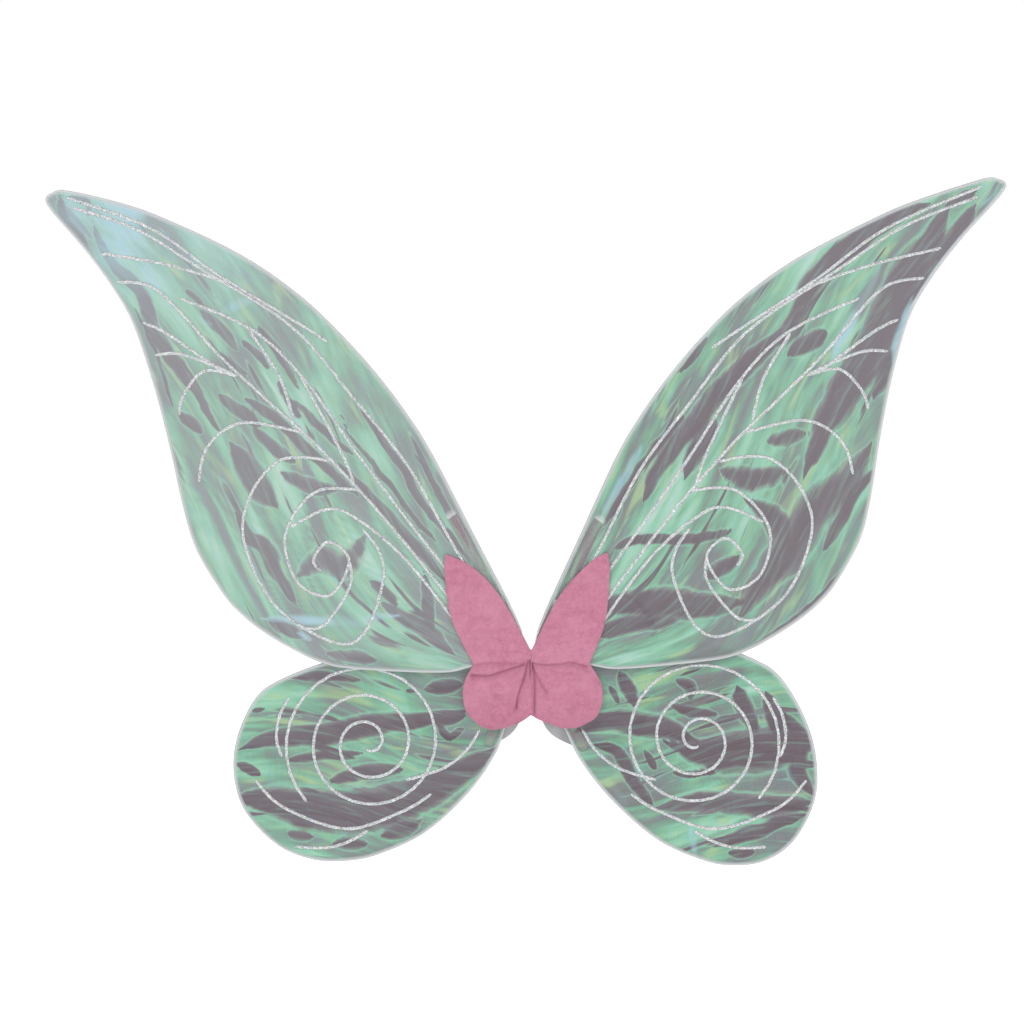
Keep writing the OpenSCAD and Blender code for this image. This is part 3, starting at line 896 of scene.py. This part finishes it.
def makeGlitter(side, wing, upper, material):
    part = "upper" if upper else "lower"
    edge = wingLine(wing, side, upper)
    lines = [smoothLine(vein, 8) for vein in wing["veins"]]
    if upper:
        lines = [bent(line, side, upper) for line in lines]
    else:
        lines.append(spiralLine(wing["spiral"], side))
    verts, faces = [], []
    for number, line in enumerate(lines):
        line = evenLine(line, int(runAlong(line)[-1] / glitter["step"]) + 2)
        out = lineHeadings(line) @ np.array([[0, 1], [-1, 0]])
        count, columns = len(line), len(glitter["profile"])
        run = np.arange(count) * glitter["step"]
        fromEnd = np.minimum(run, run[::-1]) + 0.5
        taper = np.sqrt(np.clip(fromEnd / glitter["taper"], 0.1, 1))
        rings = []
        for offset, lift in glitter["profile"]:
            rag = 1 + glitter["ragged"] * (softNoise(run / 3.1, offset * 3 + number * 9.7, 5) - 0.5)
            p = line + out * (offset * glitter["width"] * rag * taper)[:, None]
            h, near = filmHeight(p[:, 0], p[:, 1], side, wing, upper, edge)
            bumpy = 0.75 + 0.5 * softNoise(run / 1.7, offset * 5 + number * 3.1, 8)
            height = h + overWire(near) + glitter["height"] * lift * bumpy * taper
            rings.append(np.stack([p[:, 0], height, p[:, 1]], 1))
        base = len(verts)
        verts.extend(np.stack(rings, axis=1).reshape(-1, 3))
        lineFaces = gridFaces(count, columns, wrap=True, flip=side == "right")
        firstCap, lastCap = range(columns), range((count - 1) * columns, count * columns)
        lineFaces += [firstCap, lastCap[::-1]] if side == "right" else [firstCap[::-1], lastCap]
        faces += [tuple(base + k for k in face) for face in lineFaces]
    verts = np.array(verts)
    real = placed(verts[:, [0, 2]], side)
    verts = np.stack([real[:, 0], wing["wireY"] - verts[:, 1], real[:, 1]], axis=1)
    piece = makeObject(f"{side}{part.capitalize()}Glitter", verts, faces, material)
    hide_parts(f"{side}_{part}_glitter")
    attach(piece, f"{side}_wing" if upper else f"{side}_lower_wing")


silverGlitter = glitterMaterial()
for side in sides:
    makeGlitter(side, upperWing, True, silverGlitter)
    makeGlitter(side, lowerWing, False, silverGlitter)
print("glitter lines made")


# felt butterfly

felt = {
    "thickness": 1.2,
    "puff": 1.5,           # mm that the felt stands forward of its plate
    "colour": (0.590, 0.222, 0.322),
    "deep": (0.500, 0.170, 0.262),
    "light": (0.680, 0.300, 0.405),
    "speck": (0.950, 0.840, 0.890),
    # painted shade colour, laid into the creases
    "fold": (0.235, 0.045, 0.090),
    "notch": (14, -46.5),  # top and bottom of the fold line
    "flat": {"left": (0.081, 0.166), "right": (0.074, 0.166)},   # m, of each cover laid out
    "rows": (64, 84),      # below and above the waist
    "columns": 60,
    "middle": np.array([34.0, 10.0]),
    "backShare": 0.975,    # size of the back cover beside the front one
    # outlines: notch to tip, tip to waist, and the lower lobe
    "inner": {"left": [[0, 14], [28, 64], [54, 92], [80.5, 105.5]],
              "right": [[0, 14], [26, 65], [55, 97], [72, 107]]},
    "outer": {"left": [[80.5, 105.5], [81.5, 88], [75, 44], [54.5, 1.5]],
              "right": [[72, 107], [74, 88], [69.5, 41], [55, 2]]},
    "lobe": {"left": [[54.5, 1.5], [64, -20], [60, -45], [40, -59.5], [17, -56], [0, -46.5]],
             "right": [[55, 2], [67, -20], [62, -47], [36.5, -59], [11, -52], [0, -46.5]]},
    # pressed-in creases and raised rolls: route, width and depth
    "creases": {
        "left": [([[56, -9], [40, -9.6], [26, -5.4], [7, 0.8]], 1.3, 0.95),
                 ([[56, 0], [38, 2.5], [20, 1.5], [7, 2.4]], 1.2, 0.5),
                 ([[3, 4], [7, -13], [12.5, -29], [14, -40]], 1.2, 0.85),
                 ([[1, 5], [0.6, -8]], 1.2, 0.9),
                 ([[54, 25], [40, 26.5], [28, 24]], 1.0, 0.3),
                 ([[10, -30], [17, -44]], 1.2, 0.3),
                 ([[64, 66], [72, 65]], 0.8, 0.25)],
        "right": [([[1, 2], [14, 0.6], [29, 1.5], [37, 3], [52, -1]], 1.2, 0.8),
                  ([[0.6, 3], [3, -10], [3.4, -25], [3, -45]], 1.3, 0.8),
                  ([[1, -1], [5, -9], [10.5, -19], [15, -25]], 1.1, 0.6),
                  ([[20, -5], [30, -8], [38, -7]], 1.0, 0.3),
                  ([[50, 75], [60, 80], [68, 84]], 0.9, 0.25),
                  ([[30, 48], [45, 51], [58, 49]], 0.9, 0.25)],
    },
    "rolls": {
        "left": [([[55, -4.5], [34, -2], [10, 4]], 3.0, 0.9), ([[10, -8], [16, -32]], 3.0, 0.6)],
        "right": [([[6, 6], [30, 6.5], [50, 4]], 3.2, 0.6), ([[8, -5], [16, -21]], 2.6, 0.5)],
    },
}


def feltMaterial():
    material, tree, shader = newMaterial("pinkFelt")
    place = objectPlace(tree)
    fibres = addNoise(tree, addScaled(tree, place, (1, 1, 1.6)), 1500, 4, 0.65, 0.6)
    clumps = addNoise(tree, place, 220, 4, 0.6, 0.8)
    mottle = addNoise(tree, place, 45, 3, 0.5)
    clumpShare = addRamp(tree, clumps, [(0.32, 0.0), (0.68, 1.0)])
    fibreShare = addMath(tree, "MULTIPLY", addRamp(tree, fibres, [(0.45, 0.0), (0.7, 1.0)]), 0.5)
    mottleShare = addMath(tree, "MULTIPLY", addRamp(tree, mottle, [(0.35, 0.0), (0.7, 1.0)]), 0.35)
    shade = addMix(tree, clumpShare, felt["deep"], felt["colour"])
    shade = addMix(tree, fibreShare, shade, felt["light"])
    shade = addMix(tree, mottleShare, shade, felt["light"])
    speck = addVoronoi(tree, place, 260)
    isSpeck = addRamp(tree, speck.outputs["Distance"], [(0.0, 0.6), (0.14, 0.0)])
    some = addRamp(tree, speck.outputs["Color"], [(0.72, 0.0), (0.80, 1.0)])
    shade = addMix(tree, addMath(tree, "MULTIPLY", isSpeck, some), shade, felt["speck"])
    # painted shade in the creases and lower down, and darker by the cut edge
    shade = addMix(tree, addAttribute(tree, "foldShade").outputs["Fac"], shade, felt["fold"])
    plug(tree, shade, shader.inputs["Base Color"])
    setInputs(shader, {"Roughness": 0.92, "Specular IOR Level": 0.25, "Sheen Weight": 0.35,
                       "Sheen Roughness": 0.5})
    addBump(tree, shader, addWeighted(tree, fibres, [(clumps, 1.4)]), 0.0007)
    return material


def distanceToRim(x, z, side):
    edge = np.vstack([smoothLine(felt[word][side], 8) for word in ("inner", "outer", "lobe")])
    return distanceTo(x, z, edge)


def feltWrinkles(x, z, side):
    return crease(x / 13 + z / 60, z / 4.5, 90 + (side == "left"))


def feltFront(x, z, side):
    # how far the front of the felt stands forward: a soft puff, pressed in along its creases
    near = distanceToRim(x, z, side)
    h = felt["puff"] * (1 - np.exp(-((near / 9) ** 2)))
    h = h * np.clip(x / 12, 0.15, 1)
    for route, width, rise in felt["rolls"][side]:
        h = h + rise * nearRoute(x, z, route, width)
    for route, width, depth in felt["creases"][side]:
        h = h - 1.3 * depth * nearRoute(x, z, route, width)
    h = h + 0.30 * (feltWrinkles(x, z, side) - 0.5)
    return h + 0.14 * (softNoise(x / 2.2, z / 1.5, 93) - 0.5)


def feltShade(x, z, side):
    # painted shade: darker in its creases and wrinkles and lower down, and darker by its cut edge
    dark = np.zeros(np.shape(x))
    for route, width, depth in felt["creases"][side]:
        dark = dark + 0.62 * depth * nearRoute(x, z - 0.6, route, width * 0.8)
        dark = dark + 0.16 * depth * nearRoute(x, z + 2.2, route, width * 2.4)
    dark = dark + 0.16 * np.clip(0.35 - feltWrinkles(x, z, side), 0, 1) / 0.35
    dark = dark + 0.20 * np.clip((-22 - z) / 36, 0, 1) ** 1.5
    return np.clip(dark + 0.10 * np.exp(-distanceToRim(x, z, side) / 0.9), 0, 0.8)


def makeCover(side, front, material):
    word = "front" if front else "back"
    node = f"{side}_{word}_cover"
    sign = -1 if side == "left" else 1
    inner, outer, lobe = (smoothLine(felt[part][side], 24) for part in ("inner", "outer", "lobe"))
    top, bottom = felt["notch"]
    fold = np.array([[0, bottom], [0, top]])
    rowsLow, rowsHigh = felt["rows"]
    nearSide = np.vstack([evenLine(fold, rowsLow), evenLine(inner, rowsHigh)[1:]])
    farSide = np.vstack([evenLine(lobe[::-1], rowsLow), evenLine(outer[::-1], rowsHigh)[1:]])
    share = np.linspace(0, 1, felt["columns"])
    x, z = between(nearSide, farSide, share)
    # a slightly uneven cut edge
    middleX, middleZ = felt["middle"]
    wobble = 1 + 0.006 * (softNoise(x / 6, z / 6, 41) - 0.5) * (share > 0.5)
    x = middleX + (x - middleX) * np.where(x > 1, wobble, 1)
    z = middleZ + (z - middleZ) * wobble
    low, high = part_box(node)
    if front:
        faceY = low[1] / mm - feltFront(x, z, side)
        backY = faceY + felt["thickness"]
        roll = np.clip(distanceToRim(x, z, side) / 0.8, 0, 1)
        faceY = faceY + 0.35 * (1 - roll) ** 2
    else:
        x = np.where(x > 1, middleX + (x - middleX) * felt["backShare"], x)
        z = middleZ + (z - middleZ) * felt["backShare"]
        faceY = high[1] / mm + 0.25 * crease(x / 13, z / 8, 95) + 0.1 * softNoise(x / 2.4, z / 2.4, 96)
        backY = faceY - felt["thickness"]
    verts = [np.stack([sign * x, y, z], axis=-1).reshape(-1, 3) for y in (faceY, backY)]
    faces = closedFaces(*x.shape, flip=(side == "left") == front)
    piece = makeObject(f"{side}{word.capitalize()}Cover", np.vstack(verts), faces, material)
    if front:
        shade = feltShade(x, z, side).ravel()
        setValue(piece, "foldShade", np.concatenate([shade, 0 * shade]))
    cleanMesh(piece)
    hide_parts(node)
    if front:
        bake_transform(piece)
    else:
        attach(piece, f"{side}_wing")


pinkFelt = feltMaterial()
for side in sides:
    makeCover(side, True, pinkFelt)
    makeCover(side, False, pinkFelt)
print("felt covers made")


# back pad

backPad = {
    "crown": 1.3,         # mm that its face stands up in the middle
    "seamIn": 4.0,        # mm from the edge to the sewn line
    "seamDepth": 0.7,
    "corner": 0.055,      # how far its corners are rounded off
    "rim": 0.7,           # mm that the cut edge turns over
    "columns": 66,
    "rows": 56,
}


def makePad(material):
    low, high = (np.array(corner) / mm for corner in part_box("back_pad"))
    wide, tall = (high - low)[[0, 2]]
    columns, rows = backPad["columns"], backPad["rows"]
    u, v = np.meshgrid(np.linspace(-1, 1, columns), np.linspace(-1, 1, rows))
    # squarish outline with rounded corners
    x = u * (1 - backPad["corner"] * v ** 8) * wide / 2 + (low[0] + high[0]) / 2
    z = v * (1 - backPad["corner"] * u ** 8) * tall / 2 + (low[2] + high[2]) / 2
    inside = np.minimum((1 - np.abs(u)) * wide, (1 - np.abs(v)) * tall) / 2
    crown = backPad["crown"] * (1 - np.exp(-((inside / 8) ** 2)))
    seam = backPad["seamDepth"] * np.exp(-(((inside - backPad["seamIn"]) / 0.7) ** 2))
    ruck = 0.18 * (softNoise(x / 6, z / 6, 61) - 0.5) * (inside > 1)
    turned = 0.8 * backPad["rim"] * np.exp(-inside / 0.6)
    face = high[1] - 0.6 + crown - seam + ruck - turned
    back = low[1] + turned
    verts = [np.stack([x, y, z], axis=-1).reshape(-1, 3) for y in (face, back)]
    piece = makeObject("backPad", np.vstack(verts), closedFaces(rows, columns, False), material)
    cleanMesh(piece)
    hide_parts("back_pad")
    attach(piece, "hub")


makePad(pinkFelt)
print("back pad made")


# elastic straps

strap = {
    "width": 13,
    "thickness": 1.0,
    "ribs": 9,            # woven ribs on each face
    "ribDepth": 0.14,
    "bend": (0.020, 0.085),   # m out from the fold line where it starts and ends bending
    "route": [[17.5, -1.2, -47.4], [17.5, -1.2, -49.5], [17.5, -1.2, -52], [23, -0.4, -60], [34, 3, -67],
              [50, 10, -73], [72, 22, -76], [97, 37, -66], [115, 48, -40], [122, 52, 0], [115, 48, 40],
              [97, 37, 62], [72, 22, 68], [50, 11, 60], [31, 3, 44], [20, -0.5, 28], [17.5, -1.2, 19],
              [17.5, -1.2, 15.5], [17.5, -1.2, 12.5]],
    "across": [[1, 0, 0], [1, 0, 0], [1, 0, 0], [0.9, 0, 0.5], [0.6, 0, 0.8], [0.3, 0.2, 1],
               [-0.2, 0.5, 0.7], [-0.4, 0.7, 0.3], [-0.5, 0.87, 0], [-0.5, 0.87, 0], [-0.5, 0.87, 0],
               [-0.4, 0.7, 0.3], [-0.4, 0.5, 0.6], [-0.6, 0.1, 0.7], [-0.8, 0, 0.6], [-1, 0, 0.2],
               [-1, 0, 0], [-1, 0, 0], [-1, 0, 0]],
}


def elasticMaterial():
    material, tree, shader = newMaterial("greyElastic")
    run = addAttribute(tree, "run").outputs["Vector"]
    weave = addNoise(tree, addScaled(tree, run, (2.6, 1.1, 1)), 1, 2, 0.5)
    rows = tree.nodes.new("ShaderNodeTexWave")
    setInputs(rows, {"Scale": 0.55, "Distortion": 0.6})
    plug(tree, run, rows.inputs["Vector"])
    height = addWeighted(tree, weave, [(rows.outputs["Fac"], 0.6)])
    greys = [(0.35, (0.30, 0.315, 0.33)), (0.75, (0.47, 0.485, 0.50)), (1.2, (0.60, 0.61, 0.62))]
    shade = addRamp(tree, height, greys)
    plug(tree, shade, shader.inputs["Base Color"])
    setInputs(shader, {"Roughness": 0.75, "Sheen Weight": 0.2})
    addBump(tree, shader, height, 0.0004)
    return material


def makeStrap(side, material):
    route = smoothLine(strap["route"], 12)
    across = smoothLine(strap["across"], 12)
    heading = lineHeadings(route)
    across = across - (across * heading).sum(1, keepdims=True) * heading
    across = across / np.linalg.norm(across, axis=1, keepdims=True)
    normal = np.cross(heading, across)
    half, thick = strap["width"] / 2, strap["thickness"] / 2
    places = np.linspace(-1, 1, strap["ribs"] * 2 + 1)
    profile = [(p * half, thick - strap["ribDepth"] * (k % 2)) for k, p in enumerate(places)]
    profile += [(half + 0.12, 0)] + [(-a, -b) for a, b in profile] + [(-half - 0.12, 0)]
    rings = np.stack([route + across * a + normal * b for a, b in profile], axis=1)
    count, columns = len(route), len(profile)
    sign = -1 if side == "left" else 1
    verts = rings.reshape(-1, 3) * (sign, 1, 1)
    faces = gridFaces(count, columns, wrap=True)
    faces += [tuple(range(columns)), tuple(range((count - 1) * columns, count * columns))]
    piece = makeObject(f"{side}Strap", verts, faces, material)
    length = runAlong(route)
    across = np.tile([a for a, b in profile], count)
    setValue(piece, "run", np.stack([np.repeat(length, columns), across, 0 * across], 1))
    cleanMesh(piece)
    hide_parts(f"{side}_strap")
    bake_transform(piece)
    print(f"{side} strap is {length[-1]:.0f} mm long")


greyElastic = elasticMaterial()
for side in sides:
    makeStrap(side, greyElastic)


# finishes of the CAD parts

def wireMaterial():
    material, tree, shader = newMaterial("coatedWire")
    place = objectPlace(tree)
    scuff = addNoise(tree, place, 300, 3)
    shade = addRamp(tree, scuff, [(0.35, (0.52, 0.52, 0.52)), (0.7, (0.74, 0.74, 0.73))])
    plug(tree, shade, shader.inputs["Base Color"])
    plug(tree, addRamp(tree, scuff, [(0.3, 0.35), (0.7, 0.5)]), shader.inputs["Roughness"])
    setInputs(shader, {"Metallic": 0.6})
    addBump(tree, shader, scuff, 0.0001)
    return material


def stripMaterial():
    material, tree, shader = newMaterial("pinkStrip")
    place = objectPlace(tree)
    weave = addNoise(tree, place, 900, 3, 0.6)
    blot = addNoise(tree, place, 60, 3)
    shade = addMix(tree, weave, (0.60, 0.34, 0.42), (0.78, 0.54, 0.61))
    shade = addMix(tree, addMath(tree, "MULTIPLY", blot, 0.4), shade, (0.85, 0.70, 0.74))
    plug(tree, shade, shader.inputs["Base Color"])
    setInputs(shader, {"Roughness": 0.8, "Sheen Weight": 0.2})
    addBump(tree, shader, weave, 0.0003)
    return material


def threadMaterial():
    material, tree, shader = newMaterial("seamThread")
    place = objectPlace(tree)
    twist = tree.nodes.new("ShaderNodeTexWave")
    twist.bands_direction = "DIAGONAL"
    setInputs(twist, {"Scale": 900})
    plug(tree, place, twist.inputs["Vector"])
    shade = addMix(tree, twist.outputs["Fac"], (0.42, 0.13, 0.20), (0.60, 0.24, 0.33))
    plug(tree, shade, shader.inputs["Base Color"])
    setInputs(shader, {"Roughness": 0.7})
    addBump(tree, shader, twist.outputs["Fac"], 0.0001)
    return material


def eyeletMaterial():
    material, tree, shader = newMaterial("brassEyelet")
    place = objectPlace(tree)
    wear = addNoise(tree, place, 400, 4)
    shade = addRamp(tree, wear, [(0.3, (0.46, 0.36, 0.20)), (0.7, (0.74, 0.64, 0.42))])
    plug(tree, shade, shader.inputs["Base Color"])
    setInputs(shader, {"Metallic": 1.0, "Roughness": 0.32})
    addBump(tree, shader, wear, 0.00005)
    return material


nodeFinish = {
    "spine_strip": pinkFelt,
    "spine_thread": threadMaterial(),
    "strap_tabs": greyElastic,
    "upper_wire": wireMaterial(),
    "hub_plate": stripMaterial(),
    "pivot_eyelet": eyeletMaterial(),
}
nodeFinish["lower_wire"] = nodeFinish["upper_wire"]
nodeFinish["lower_tongue"] = nodeFinish["hub_plate"]
nodeFinish["wire_ties"] = nodeFinish["spine_thread"]
for name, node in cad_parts.items():
    plain = name.replace("left_", "").replace("right_", "")
    if plain in nodeFinish:
        for slotHolder in node.material_slots:
            slotHolder.material = nodeFinish[plain]
print("finishes on the CAD parts set")
